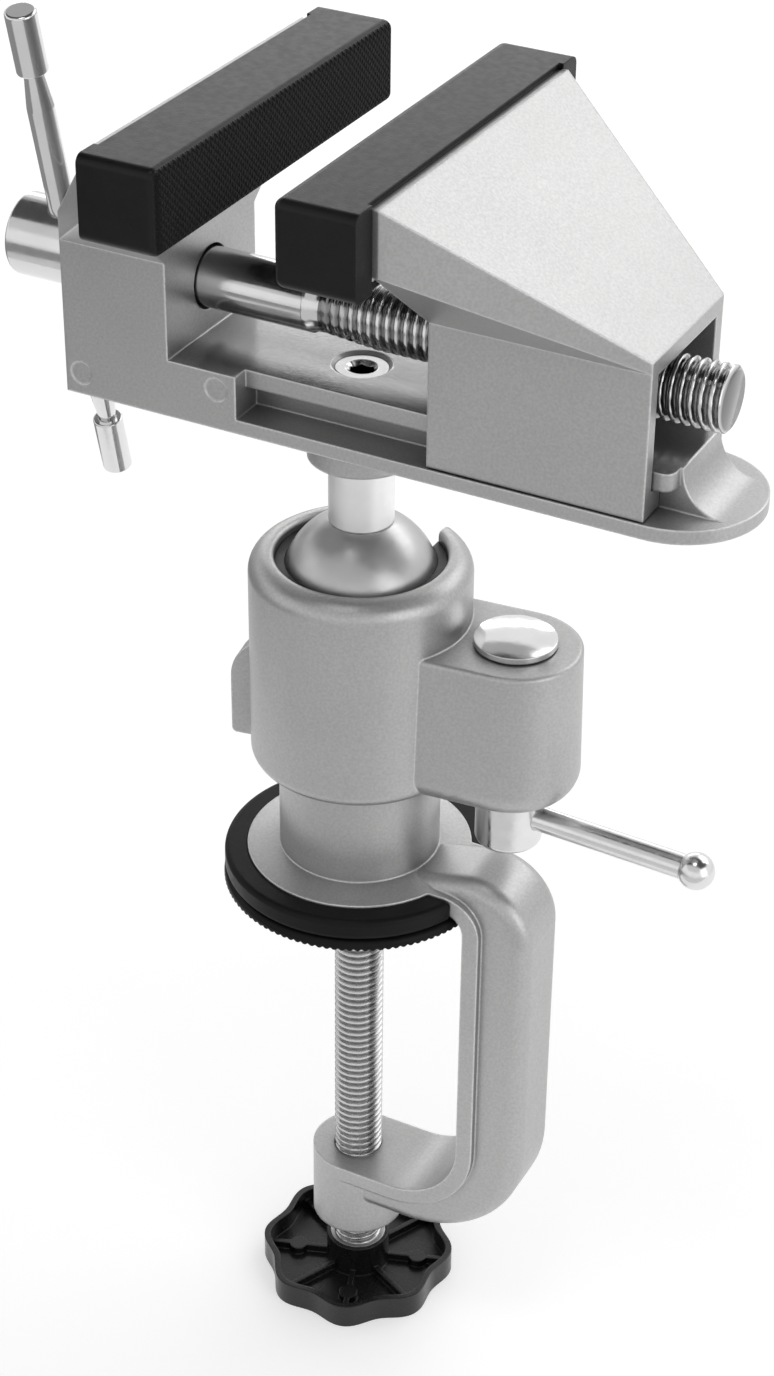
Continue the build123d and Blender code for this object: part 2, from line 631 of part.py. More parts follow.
def rail():
    """The T rail that the moving jaw slides on, with the flared web at its end."""
    low = HEAD_Z + BASE_T - EDGE_R
    flange_low = RAIL_Z - RAIL_FLANGE_T
    web = block(GROOVE_START - OVER, WEB_END, -WEB_HALF, WEB_HALF, low, RAIL_Z)
    flange = block(GROOVE_START - OVER, RAIL_END, -RAIL_HALF, RAIL_HALF, flange_low, RAIL_Z)
    corners = flange.edges().filter_by(Axis.Z).filter_by(lambda e: e.center().X > 0)
    flange = fillet(corners, RAIL_END_R)
    base_top = HEAD_Z + BASE_T
    arc_x, arc_z = WEB_END + GUSSET_R, base_top + GUSSET_R
    gusset = block(WEB_END - OVER, arc_x, -WEB_HALF, WEB_HALF, low, arc_z)
    gusset -= Pos(arc_x, 0, arc_z) * Rot(90, 0, 0) * Cylinder(GUSSET_R, 3 * WEB_HALF)
    return web + flange + gusset


def screw_bore():
    """The lead screw's bore, wider at its mouth on the jaw side."""
    bore = along_x(SHANK_R + RUNNING, BLOCK_OUT - OVER, FIXED_FACE_X + OVER, SCREW_Z)
    return bore + along_x(SHANK_R + BORE_MOUTH, FIXED_FACE_X - BORE_MOUTH_L, FIXED_FACE_X + OVER, SCREW_Z)


def ejector_marks():
    """Shallow round marks that the mould leaves on both sides of the block."""
    marks = []
    for x, z in EJECTOR_MARKS:
        for side in (-1, 1):
            pin = Rot(90, 0, 0) * Cylinder(EJECTOR_R, 2 * EJECTOR_DEPTH)
            marks.append(Pos(x, side * BODY_HALF, z) * pin)
    return marks


def vise_body():
    plan = block(BLOCK_OUT, NOSE_X, -BODY_HALF, BODY_HALF, HEAD_Z, HEAD_Z + BASE_T)
    body = plan + upright(BODY_HALF, HEAD_Z, HEAD_Z + BASE_T, NOSE_X)
    body += block(BLOCK_OUT, GROOVE_START, -BODY_HALF, BODY_HALF, HEAD_Z, RAIL_Z)
    body += block(BLOCK_OUT, FIXED_FACE_X, -BODY_HALF, BODY_HALF, HEAD_Z, HEAD_Z + BLOCK_H)
    body += rail()
    body += wing(FIXED_FACE_X, BLOCK_OUT, BLOCK_SLOPE_H, BODY_HALF, BLOCK_H)
    body += jaw_plate(FIXED_GRIP_X, 1)
    body += upright(NECK_BOSS_R, NECK_TOP, HEAD_Z)
    body -= screw_bore()
    body -= upright(BOLT_HOLE_R, NECK_TOP - OVER, RAIL_Z + OVER)
    body -= cone(BOLT_HOLE_R, BOLT_SINK_R, RAIL_Z - BOLT_SINK_R + BOLT_HOLE_R, RAIL_Z)
    body -= upright(KEEPER_R + FIXED_FIT, HEAD_Z - OVER, SCREW_Z, KEEPER_X)
    for mark in ejector_marks():
        body -= mark
    return body


def jaw_cover(grip_x, towards):
    """The rubber cap of a jaw, with a lip that hooks behind each end of the jaw."""
    half = JAW_W / 2 + COVER_WALL
    low, high = HEAD_Z + COVER_LOW, HEAD_Z + COVER_LOW + COVER_H
    end_x = grip_x - towards * COVER_DEPTH
    back_x = end_x + towards * COVER_STEP
    lip_x = back_x + towards * COVER_LIP
    x0, x1 = sorted((grip_x, end_x))
    cover = block(x0, x1, -half, half, low, high)
    front = cover.faces().sort_by(Axis.X)[-1 if towards > 0 else 0]
    cover = fillet(front.edges() + cover.edges().filter_by(Axis.X), COVER_EDGE_R)
    x2, x3 = sorted((grip_x - towards * COVER_FRONT, lip_x))
    end_half = JAW_W / 2 + COVER_FIT
    inner_low, inner_high = low + COVER_WALL, high - COVER_WALL / 2
    cover -= block(x2, x3, -end_half, end_half, inner_low, inner_high)
    x4, x5 = sorted((lip_x, end_x))
    lip_half = WING_HALF + COVER_FIT
    cover -= block(x4, x5, -lip_half, lip_half, inner_low, inner_high)
    x6, x7 = sorted((back_x, end_x))
    return cover - block(x6, x7, -lip_half, lip_half, low, high)


def lead_screw():
    """The screw that closes the jaws, with its drilled head outside the block."""
    shank_start = BLOCK_OUT - SCREW_HEAD_GAP
    head_start = shank_start - SCREW_HEAD_L
    shoulder = THREAD_START - SHANK_NECK_L
    turned_part = turned([(0, head_start, 0), (SCREW_HEAD_R, head_start, HEAD_CHAMFER),
                          (SCREW_HEAD_R, shank_start, HEAD_INNER_CHAMFER), (SHANK_R, shank_start, 0),
                          (SHANK_R, shoulder, 0), (SHANK_NECK_R, shoulder + SHANK_TAPER, 0),
                          (SHANK_NECK_R, THREAD_START, 0), (0, THREAD_START, 0)])
    groove_r = SHANK_R - KEEPER_GROOVE
    groove_half = KEEPER_TIP_R + SEAT
    groove = upright(SHANK_R + OVER, KEEPER_X - groove_half, KEEPER_X + groove_half)
    groove -= upright(groove_r, KEEPER_X - groove_half - OVER, KEEPER_X + groove_half + OVER)
    screw = turned_part - groove
    screw += threaded_rod(SCREW_MAJOR_R, SCREW_PITCH, THREAD_START, THREAD_END)
    screw = Pos(0, 0, SCREW_Z) * Rot(0, 90, 0) * screw
    return screw - bar_place(Cylinder(BAR_R + RUNNING, 4 * SCREW_HEAD_R))


def bar_place(solid, slid=0.0):
    """Moves a piece drawn along Z to the tommy bar's place in the screw's head."""
    return Pos(BAR_X, 0, SCREW_Z) * Rot(BAR_LEAN, 0, 0) * Pos(0, 0, -slid) * solid


def tommy_bar():
    """The sliding bar, drawn in at both ends where the caps are pressed on."""
    half = BAR_LEN / 2 - CAP_END_T
    waist = BAR_LEN / 2 - CAP_L
    corners = [(0, -half, 0), (BAR_NECK_R, -half, 0), (BAR_NECK_R, -waist, 0),
               (BAR_R, -waist + BAR_NECK_L, 0), (BAR_R, waist - BAR_NECK_L, 0),
               (BAR_NECK_R, waist, 0), (BAR_NECK_R, half, 0), (0, half, 0)]
    return bar_place(turned(corners), BAR_SLID)


def tommy_bar_cap(side):
    """A pressed-on end cap of the bar; side is +1 at the top."""
    outer, inner = BAR_LEN / 2, BAR_LEN / 2 - CAP_L
    cap = turned([(0, inner, 0), (CAP_R, inner, CAP_INNER_CHAMFER), (CAP_R, outer, CAP_OUTER_CHAMFER),
                  (0, outer, 0)])
    cap -= upright(BAR_NECK_R + FIXED_FIT, inner - OVER, outer - CAP_END_T + FIXED_FIT)
    if side < 0:
        cap = Rot(180, 0, 0) * cap
    return bar_place(cap, BAR_SLID)


def screw_keeper():
    """The grub screw under the block whose tip runs in the shank's groove."""
    tip = SCREW_Z - SHANK_R + KEEPER_GROOVE - SEAT
    shoulder = SCREW_Z - SHANK_R - SEAT
    keeper = upright(KEEPER_R, shoulder - KEEPER_L, shoulder, KEEPER_X)
    keeper += upright(KEEPER_TIP_R, shoulder - OVER, tip, KEEPER_X)
    hexagon = extrude(RegularPolygon(KEEPER_R / 2, 6, major_radius=False), KEEPER_R)
    return keeper - Pos(KEEPER_X, 0, shoulder - KEEPER_L) * hexagon


# ---------------------------------------------------------------- moving jaw
def jaw_hollow():
    """The T channel for the rail and the open room in front of the nut."""
    lip_top = RAIL_Z - RAIL_FLANGE_T - SLIDE_FIT
    start, end = MOVING_FACE_X - OVER, JAW_END_X + OVER
    inner = RAIL_HALF + SLIDE_FIT
    slot = block(start, end, -WEB_HALF - SLIDE_FIT, WEB_HALF + SLIDE_FIT, HEAD_Z, RAIL_Z)
    channel = block(start, end, -inner, inner, lip_top, RAIL_Z + SLIDE_FIT)
    roof = HEAD_Z + JAW_NOSE_TOP - JAW_ROOF
    room_half = JAW_BODY_HALF - JAW_WALL
    room = block(MOVING_FACE_X + JAW_BACK, end, -room_half, room_half, lip_top, roof)
    return slot + channel + room


def moving_jaw():
    low = HEAD_Z + JAW_BODY_LOW
    body = block(MOVING_FACE_X, JAW_END_X, -JAW_BODY_HALF, JAW_BODY_HALF, low, HEAD_Z + JAW_BODY_H)
    body += wing(MOVING_FACE_X, JAW_END_X, JAW_NOSE_TOP, JAW_BODY_HALF, JAW_BODY_H)
    body += jaw_plate(MOVING_GRIP_X, -1)
    body -= jaw_hollow()
    body -= along_x(SCREW_MAJOR_R + SLIDE_FIT, MOVING_FACE_X - COVER_DEPTH, JAW_END_X, SCREW_Z)
    nut_start = MOVING_FACE_X + JAW_BACK - NUT_L
    return body - along_x(NUT_R + FIXED_FIT, nut_start, MOVING_FACE_X + JAW_BACK, SCREW_Z)


def jaw_nut():
    """The threaded bush that the lead screw drives."""
    end = MOVING_FACE_X + JAW_BACK
    nut = along_x(NUT_R, end - NUT_L, end, SCREW_Z)
    return nut - along_x(SCREW_MAJOR_R + RUNNING, end - NUT_L - OVER, end + OVER, SCREW_Z)


# ---------------------------------------------------------------- export
PARTS = {
    "clamp_frame": clamp_frame(),
    "upper_pad": upper_pad(),
    "ball_liner": ball_liner(),
    "swivel_ball": swivel_ball(),
    "ball_neck": ball_neck(),
    "ball_bolt": ball_bolt(),
    "cam_pin": cam_pin(),
    "lever_hub": lever_hub(),
    "lever_rod": lever_rod(),
    "lever_ball": lever_ball(),
    "lock_shoe": lock_shoe(),
    "lower_pad": lower_pad(),
    "pad_plate": pad_plate(),
    "pad_collar": pad_collar(),
    "clamp_screw": clamp_screw(),
    "hand_knob": hand_knob(),
    "knob_insert": knob_insert(),
    "vise_body": vise_body(),
    "fixed_jaw_cover": jaw_cover(FIXED_GRIP_X, 1),
    "lead_screw": lead_screw(),
    "screw_keeper": screw_keeper(),
    "tommy_bar": tommy_bar(),
    "tommy_bar_cap_top": tommy_bar_cap(1),
    "tommy_bar_cap_bottom": tommy_bar_cap(-1),
    "moving_jaw": moving_jaw(),
    "moving_jaw_cover": jaw_cover(MOVING_GRIP_X, -1),
    "jaw_nut": jaw_nut(),
}

os.makedirs("parts", exist_ok=True)
for name, shape in PARTS.items():
    export_step(shape, f"parts/{name}.step")
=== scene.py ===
"""The looks of a ball vise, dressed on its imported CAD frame. Units are metres in the part's frame."""

import math

import bmesh
import bpy
from mathutils import Matrix, Vector


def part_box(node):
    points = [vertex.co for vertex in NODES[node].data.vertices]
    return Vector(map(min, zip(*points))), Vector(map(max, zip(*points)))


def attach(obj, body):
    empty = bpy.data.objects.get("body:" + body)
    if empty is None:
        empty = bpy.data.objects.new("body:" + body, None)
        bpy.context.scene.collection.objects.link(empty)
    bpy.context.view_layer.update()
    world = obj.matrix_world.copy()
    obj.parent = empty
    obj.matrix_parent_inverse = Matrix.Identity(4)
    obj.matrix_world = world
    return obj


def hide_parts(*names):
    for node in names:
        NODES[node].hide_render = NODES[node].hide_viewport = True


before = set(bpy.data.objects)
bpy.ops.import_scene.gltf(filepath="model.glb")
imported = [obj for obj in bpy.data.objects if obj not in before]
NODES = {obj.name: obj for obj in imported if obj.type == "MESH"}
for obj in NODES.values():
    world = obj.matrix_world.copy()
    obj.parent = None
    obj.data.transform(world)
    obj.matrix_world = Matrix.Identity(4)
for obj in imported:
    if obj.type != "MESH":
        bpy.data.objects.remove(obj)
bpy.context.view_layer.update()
MM = 0.001
TURN = 2 * math.pi

# ---------------------------------------------------------------- the photograph's camera
PHOTO_W, PHOTO_H = 774, 1376
CAMERA_AT = Vector((205.7, -386.1, 320.3)) * MM
CAMERA_RIGHT = Vector((0.8937, 0.4482, 0.0214))
CAMERA_DOWN = Vector((0.2574, -0.4729, -0.8427))
FOCAL_PX = 2856.19
CENTRE_PX = (452.9, 677.07)  # the lens axis in the photograph
SENSOR_MM = 36.0
NEAREST = 10 * MM

# ---------------------------------------------------------------- sizes of the lead screw
SCREW_Z = 113.6 * MM
SCREW_MAJOR_R = 5.7 * MM
SCREW_ROOT_R = 4.85 * MM
SCREW_PITCH = 1.75 * MM
SHANK_R = 5.35 * MM
SHANK_CUT_X = -9.0 * MM      # the CAD screw is kept on the head's side of this place
NECK_X = -8.0 * MM
NECK_R = 4.9 * MM
NECK_TAPER = 0.6 * MM
THREAD_START_X = -6.0 * MM
THREAD_END_X = 67.0 * MM
RUN_IN = 6 * SCREW_PITCH     # the thread's crests rise to full height over this length
TIP_CHAMFER = 0.3 * MM

# ---------------------------------------------------------------- sizes of the clamp screw
CLAMP_MAJOR_R = 4.75 * MM
CLAMP_ROOT_R = 4.1 * MM
CLAMP_PITCH = 1.5 * MM
TIP_NECK_R = 3.2 * MM
TIP_DISC_R = 4.2 * MM
TIP_L = 4.45 * MM            # from the thread's end to the disc's top
TIP_DISC_H = 2.8 * MM

# ---------------------------------------------------------------- sizes of the lower pad
PAD_WALL = 3.1 * MM          # rubber outside the pad plate
PAD_WEB = 0.9 * MM           # rubber over the pad plate
PAD_ROUND_R = 1.4 * MM       # round of the top edge
PAD_CENTRE_R = 0.2 * MM      # the flat at the middle of its top and of its inside
WALL_DRAFT = 0.02 * MM
TEETH = 112                  # serrations round the bottom edge
TOOTH_H = 0.4 * MM
TOOTH_FLAT = 1.2 * MM        # width of the bottom edge that the teeth take up
TOOTH_BEVEL_W = 0.5 * MM     # width of the bevel on the teeth's outer edge
TOOTH_BEVEL_H = 0.25 * MM    # and its height
TOOTH_TOP = 0.8 * MM         # the wall is plain above this height

# ---------------------------------------------------------------- sizes and numbers used by the finishes
RAIL_Z = 103.9 * MM          # top of the rail
RAIL_SKIN = 0.1 * MM         # a face this near to it is the machined top
KNURL_PITCH = 1.4 * MM       # along the jaw
KNURL_HEIGHT = 1.4 * MM      # of the bump, whose pattern goes from 0 to a half
KNURL_MARGIN = 2.0 * MM      # a face this near to the jaws' gap is knurled
SOCKET_RIM = 0.4 * MM        # the painted shade in the bolt's socket begins below here
SOCKET_DARK = 0.9 * MM       # and is at its darkest from here on
GROOVE_REACH = 8.0 * MM      # walls nearer than this paint shade into a casting's grooves

CAST_EDGE = 0.6 * MM         # how far the sharp edges are rounded
SOFT_EDGE = 0.4 * MM         # of rubber and plastic
METAL_EDGE = 0.3 * MM
BRASS_EDGE = 0.2 * MM
CAST_GRAIN = 0.04 * MM       # depth of the surface's grain, also on plastic
RUBBER_GRAIN = 0.05 * MM
METAL_GRAIN = 0.02 * MM

NOISE_LOW, NOISE_HIGH = 0.35, 0.65  # most of a noise lies between these
NOISE_ROUGHNESS = 0.55
EDGE_RAYS = 6                # sent out to find the sharp edges
GROOVE_RAYS = 8              # sent out to find walls nearby

# ---------------------------------------------------------------- fineness of the turned pieces
STEPS_PER_PITCH = 14
ROUND_STEPS = 96
STEPS_PER_TOOTH = 6
CORNER_STEPS = 6
ROOT_SHARE = 0.2             # share of a thread's half pitch that is root
FLANK_SHARE = 0.55           # and that is flank; the rest is crest
SHARP_EDGE = math.radians(40)


def add_camera():
    right = CAMERA_RIGHT.normalized()
    forward = right.cross(-CAMERA_DOWN).normalized() * -1
    up = right.cross(forward).normalized()
    turn = Matrix((right, up, -forward)).transposed().to_4x4()
    data = bpy.data.cameras.new("photo_camera")
    data.sensor_width = SENSOR_MM
    data.lens = FOCAL_PX * SENSOR_MM / PHOTO_H
    data.shift_x = (PHOTO_W / 2 - CENTRE_PX[0]) / PHOTO_H
    data.shift_y = (CENTRE_PX[1] - PHOTO_H / 2) / PHOTO_H
    data.clip_start = NEAREST
    camera = bpy.data.objects.new("photo_camera", data)
    camera.matrix_world = Matrix.Translation(CAMERA_AT) @ turn
    bpy.context.scene.collection.objects.link(camera)
    bpy.context.scene.camera = camera


# ---------------------------------------------------------------- node helpers
class Tree:
    """Short calls for building a node tree."""

    def __init__(self, owner, output):
        owner.use_nodes = True
        self.nodes = owner.node_tree.nodes
        self.links = owner.node_tree.links
        self.nodes.clear()
        self.out = self.nodes.new(output)

    def add(self, kind, **inputs):
        node = self.nodes.new(kind)
        for name, value in inputs.items():
            self.put(node, name.replace("_", " "), value)
        return node

    def put(self, node, socket, value):
        target = node.inputs[socket]
        if isinstance(value, bpy.types.NodeSocket):
            self.links.new(value, target)
        else:
            target.default_value = value

    def split(self, vector):
        return self.add("ShaderNodeSeparateXYZ", Vector=vector).outputs

    def ramp(self, value, low, high, start, end):
        """A number that goes from low to high as value goes from start to end."""
        node = self.nodes.new("ShaderNodeMapRange")
        node.clamp = True
        sockets = ("Value", "From Min", "From Max", "To Min", "To Max")
        for socket, number in zip(sockets, (value, start, end, low, high)):
            self.put(node, socket, number)
        return node.outputs[0]

    def maths(self, kind, a, b=0.0):
        node = self.nodes.new("ShaderNodeMath")
        node.operation = kind
        self.put(node, 0, a)
        self.put(node, 1, b)
        return node.outputs[0]

    def chain(self, kind, values):
        result = values[0]
        for value in values[1:]:
            result = self.maths(kind, result, value)
        return result

    def total(self, *values):
        return self.chain("ADD", values)

    def product(self, *values):
        return self.chain("MULTIPLY", values)

    def distance(self, value, place):
        """How far a number is from a place, on either side of it."""
        return self.maths("ABSOLUTE", self.maths("SUBTRACT", value, place))

    def blend(self, share, a, b):
        """a where share is 0, and b where it is 1."""
        return self.add("ShaderNodeMix", Factor=share, A=a, B=b).outputs[0]

    def grey(self, value, tint=(1.0, 1.0, 1.0)):
        node = self.nodes.new("ShaderNodeCombineColor")
        for channel, share in zip(("Red", "Green", "Blue"), tint):
            self.put(node, channel, self.maths("MULTIPLY", value, share))
        return node.outputs[0]


class Finish(Tree):
    """A material with one principled shader."""

    def __init__(self, name):
        self.material = bpy.data.materials.new(name)
        super().__init__(self.material, "ShaderNodeOutputMaterial")
        self.shader = self.nodes.new("ShaderNodeBsdfPrincipled")
        self.links.new(self.shader.outputs[0], self.out.inputs["Surface"])
        self.place = self.nodes.new("ShaderNodeTexCoord").outputs["Object"]

    def set(self, **values):
        for name, value in values.items():
            self.put(self.shader, name.replace("_", " "), value)

    def noise(self, scale, detail=3, stretch=(1, 1, 1)):
        mapping = self.add("ShaderNodeMapping", Vector=self.place, Scale=stretch)
        node = self.add("ShaderNodeTexNoise", Vector=mapping.outputs[0], Scale=scale, Detail=detail,
                        Roughness=NOISE_ROUGHNESS)
        return node.outputs["Fac"]

    def varied(self, low, high, scale, detail=3, stretch=(1, 1, 1)):
        """A number that wanders between low and high; scale is its spots to the metre."""
        return self.ramp(self.noise(scale, detail, stretch), low, high, NOISE_LOW, NOISE_HIGH)

    def bump(self, height, distance, strength, normal):
        node = self.add("ShaderNodeBump", Height=height, Distance=distance, Strength=strength,
                        Normal=normal)
        return node.outputs[0]

    def facing(self, kind="Normal"):
        return self.add("ShaderNodeNewGeometry").outputs[kind]

    def rounded(self, radius):
        """A normal that rounds the solid's sharp edges."""
        node = self.add("ShaderNodeBevel", Radius=radius)
        node.samples = EDGE_RAYS
        return node.outputs[0]

    def edges(self, rounded):
        """0 on the faces and up to 1 on the edges that the rounded normal turns."""
        node = self.nodes.new("ShaderNodeVectorMath")
        node.operation = "DOT_PRODUCT"
        self.put(node, 0, rounded)
        self.put(node, 1, self.facing())
        return self.ramp(node.outputs["Value"], 1.0, 0.0, 0.85, 0.99)

    def openness(self, reach):
        """How open a place is to its surroundings: low in grooves and corners, where the casting paints
        shade with it.
        """
        node = self.add("ShaderNodeAmbientOcclusion", Distance=reach)
        node.samples = GROOVE_RAYS
        return node.outputs["AO"]


# ---------------------------------------------------------------- castings
def machined_top(look):
    """1 on the top of the rail, which is machined, and 0 elsewhere."""
    height = look.distance(look.split(look.place)[2], RAIL_Z)
    up = look.split(look.facing("True Normal"))[2]
    return look.product(look.maths("LESS_THAN", height, RAIL_SKIN), look.maths("GREATER_THAN", up, 0.9))


def cast_alloy():
    """Satin silver casting: fine grain, painted highlights on the edges, painted shade in the grooves
    and a machined rail.
    """
    look = Finish("cast_alloy")
    cast = look.varied(0.35, 0.42, 2500, detail=2)
    smooth = look.varied(0.13, 0.2, 300, stretch=(0.2, 1, 1))
    look.set(Roughness=look.blend(machined_top(look), cast, smooth))
    rounded = look.rounded(CAST_EDGE)
    grain = look.product(look.varied(0.92, 1.06, 2000), look.varied(0.46, 0.475, 60, detail=4))
    # painted highlight: the base colour is brightened along the sharp edges
    painted_edge_highlight = look.ramp(look.edges(rounded), 1.0, 1.8, 0.0, 1.0)
    # painted shade: the base colour is darkened in grooves and corners
    painted_groove_shade = look.ramp(look.openness(GROOVE_REACH), 0.5, 1.0, 0.2, 0.8)
    look.set(Base_Color=look.grey(look.product(grain, painted_edge_highlight, painted_groove_shade), (1.0, 1.0, 0.995)), Metallic=0.78)
    look.set(Normal=look.bump(look.noise(3500, 2), CAST_GRAIN, 0.5, rounded))
    return look.material


# ---------------------------------------------------------------- rubber
def rubber_surface(look, normal, roughness, gloss):
    look.set(Base_Color=look.grey(look.varied(0.005, 0.008, 90, detail=4)))
    look.set(Roughness=roughness, Specular_IOR_Level=gloss)
    look.set(Normal=look.bump(look.noise(3000, 2), RUBBER_GRAIN, 0.5, normal))
    return look.material


def black_rubber():
    look = Finish("black_rubber")
    return rubber_surface(look, look.rounded(SOFT_EDGE), look.varied(0.36, 0.44, 700), 0.13)


def diamonds(look):
    """Height of the diamond pattern: 0 along its lines."""
    _, y, z = look.split(look.place)

    def ridge(kind):
        along = look.maths("DIVIDE", look.maths(kind, y, z), KNURL_PITCH)
        return look.distance(look.maths("FRACT", along), 0.5)

    return look.maths("MINIMUM", ridge("ADD"), ridge("SUBTRACT"))


def gripping_faces(look):
    """1 on the two faces that grip the work, and 0 elsewhere."""
    gap_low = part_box("fixed_jaw_cover")[1].x
    gap_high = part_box("moving_jaw_cover")[0].x
    reach = (gap_high - gap_low) / 2 + KNURL_MARGIN
    offset = look.distance(look.split(look.place)[0], (gap_low + gap_high) / 2)
    along = look.maths("ABSOLUTE", look.split(look.facing())[0])
    return look.product(look.ramp(along, 0.0, 1.0, 0.55, 0.8), look.maths("LESS_THAN", offset, reach))


def knurled_rubber():
    """Rubber with a fine diamond pattern on the faces that grip."""
    look = Finish("knurled_rubber")
    grip = gripping_faces(look)
    height = look.product(diamonds(look), grip)
    normal = look.bump(height, KNURL_HEIGHT, 1.0, look.rounded(SOFT_EDGE))
    roughness = look.blend(grip, look.varied(0.33, 0.4, 700), 0.8)
    return rubber_surface(look, normal, roughness, 0.23)


# ---------------------------------------------------------------- plastic
def moulded_plastic(name, grey, rough_low, rough_high):
    look = Finish(name)
    look.set(Base_Color=look.grey(look.varied(grey * 0.8, grey, 80)))
    look.set(Roughness=look.varied(rough_low, rough_high, 300))
    look.set(Normal=look.bump(look.noise(1500, 2), CAST_GRAIN, 0.5, look.rounded(SOFT_EDGE)))
    return look.material


def knob_plastic():
    return moulded_plastic("knob_plastic", 0.007, 0.22, 0.34)


def liner_plastic():
    return moulded_plastic("liner_plastic", 0.012, 0.4, 0.5)


# ---------------------------------------------------------------- bright metals
def bright_metal(name, grey, rough_low, rough_high, stretch=(1, 1, 1), streak=0.4, shade=None):
    """Plated or turned steel with faint streaks; shade(look) is a share of the grey."""
    look = Finish(name)
    colour = look.varied(grey * 0.94, grey, 120)
    if shade is not None:
        colour = look.product(colour, shade(look))
    look.set(Base_Color=look.grey(colour), Metallic=1.0)
    look.set(Roughness=look.varied(rough_low, rough_high, 500, 4, stretch))
    streaks = look.noise(900, stretch=stretch)
    look.set(Normal=look.bump(streaks, METAL_GRAIN, streak, look.rounded(METAL_EDGE)))
    return look.material


def chrome_plate():
    return bright_metal("chrome_plate", 0.76, 0.08, 0.15, streak=0.25)


def worn_chrome():
    return bright_metal("worn_chrome", 0.76, 0.15, 0.26, streak=0.8)


def bolt_chrome():
    """Chrome with painted shade below the rim of the bolt's socket."""
    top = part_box("ball_bolt")[1].z

    def shade(look):
        height = look.split(look.place)[2]
        return look.ramp(height, 0.06, 1.0, top - SOCKET_DARK, top - SOCKET_RIM)

    return bright_metal("bolt_chrome", 0.7, 0.1, 0.18, streak=0.25, shade=shade)


def root_shade(look, a, b, root, major):
    """Painted shade, dark in the roots of a thread; a and b are the two distances from its axis."""
    radius = look.maths("SQRT", look.total(look.product(a, a), look.product(b, b)))
    return look.ramp(radius, 0.3, 1.0, root, root + (major - root) * 0.8)


def lead_screw_steel():
    """Bright steel, with painted shade in the thread's roots."""
    def shade(look):
        x, y, z = look.split(look.place)
        z = look.maths("SUBTRACT", z, SCREW_Z)
        plain = look.maths("LESS_THAN", x, THREAD_START_X)
        return look.maths("MAXIMUM", plain, root_shade(look, y, z, SCREW_ROOT_R, SCREW_MAJOR_R))

    return bright_metal("lead_screw_steel", 0.72, 0.12, 0.2, streak=0.25, shade=shade)


def clamp_screw_steel():
    """Plain steel, with painted shade in the thread's roots."""
    def shade(look):
        x, y, _ = look.split(look.place)
        return root_shade(look, x, y, CLAMP_ROOT_R, CLAMP_MAJOR_R)

    return bright_metal("clamp_screw_steel", 0.62, 0.22, 0.3, shade=shade)


def zinc_steel():
    return bright_metal("zinc_steel", 0.55, 0.26, 0.36)


def satin_steel():
    return bright_metal("satin_steel", 0.52, 0.32, 0.4)


def polished_steel():
    return bright_metal("polished_steel", 0.92, 0.34, 0.42, stretch=(1, 1, 8))


def black_steel():
    return bright_metal("black_steel", 0.2, 0.3, 0.4)


def brass():
    look = Finish("brass")
    look.set(Base_Color=look.grey(look.varied(0.52, 0.6, 90), (1.0, 0.78, 0.38)), Metallic=1.0)
    look.set(Roughness=look.varied(0.22, 0.34, 500))
    look.set(Normal=look.bump(look.noise(900), METAL_GRAIN, 0.4, look.rounded(BRASS_EDGE)))
    return look.material


# ---------------------------------------------------------------- light and floor
FLOOR_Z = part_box("hand_knob")[0].z
FLOOR_SIZE = 6.0
FLOOR_GREY = 0.75            # share of the light that the floor sends back
FLOOR_GLOW = 0.42            # added where it is seen, so that it is white outside the shadows
FILL = 0.55                  # the tent's light on the pieces
TABLE_Z = FLOOR_Z + 2 * MM
CEILING_Z = 0.95
# The cards are painted reflections: sheets that glow in reflections only, grey or near black, and
# neither light the pieces nor cast shadow.
CARDS = (  # name, from x, to x, from y, to y, height, grey
    ("table_front", -0.28, 1.5, -1.2, -0.13, TABLE_Z, 0.7),
    ("table_left", -1.5, -0.28, -1.2, 0.45, TABLE_Z, 0.3),
    ("table_back", -1.5, 1.5, 0.9, 1.6, TABLE_Z, 0.5),
    ("ceiling_front", -1.2, 1.2, -1.9, -0.5, CEILING_Z, 0.7),
    ("ceiling_middle", -1.2, 1.2, -0.5, 0.55, CEILING_Z, 0.08),
    ("ceiling_back", -1.2, 1.2, 0.55, 0.85, CEILING_Z, 0.45),
)
# a painted reflection too: a card on the left that shows in reflections only
LEFT_WALL = ((-1.3, 0.3, 0.12), (1.3, 0.45), 0.35)  # place, size, grey
SOFTBOXES = (  # name, place, size, brightness
    ("right_box", (1.0, -0.3, 0.35), (0.6, 0.9), 1.05),
    ("top_box", (0.0, -0.25, 0.9), (0.25, 0.25), 3.5),
    ("back_box", (0.32, 0.66, 0.75), (0.8, 0.7), 1.45),
    ("back_left_box", (-0.54, 0.98, 0.42), (0.7, 0.2), 2.2),
)
MIDDLE = Vector((0.0, 0.0, 0.03))  # the softboxes and the wall face this place


def softbox(name, place, size, brightness):
    """A softbox; brightness is what its face shows in a mirror, where 1 is white."""
    data = bpy.data.lights.new(name, "AREA")
    data.shape = "RECTANGLE"
    data.size, data.size_y = size
    data.energy = brightness * math.pi * size[0] * size[1]
    light = bpy.data.objects.new(name, data)
    light.location = place
    light.rotation_euler = (MIDDLE - Vector(place)).to_track_quat("-Z", "Y").to_euler()
    bpy.context.scene.collection.objects.link(light)


def shown_or_lit(tree, shown, lit):
    """The shader shown to camera, glossy and transmission rays, and lit for every other ray."""
    path = tree.add("ShaderNodeLightPath").outputs
    share = tree.total(path["Is Camera Ray"], path["Is Glossy Ray"], path["Is Transmission Ray"])
    mix = tree.add("ShaderNodeMixShader")
    tree.links.new(share, mix.inputs[0])
    tree.links.new(lit, mix.inputs[1])
    tree.links.new(shown, mix.inputs[2])
    return mix.outputs[0]


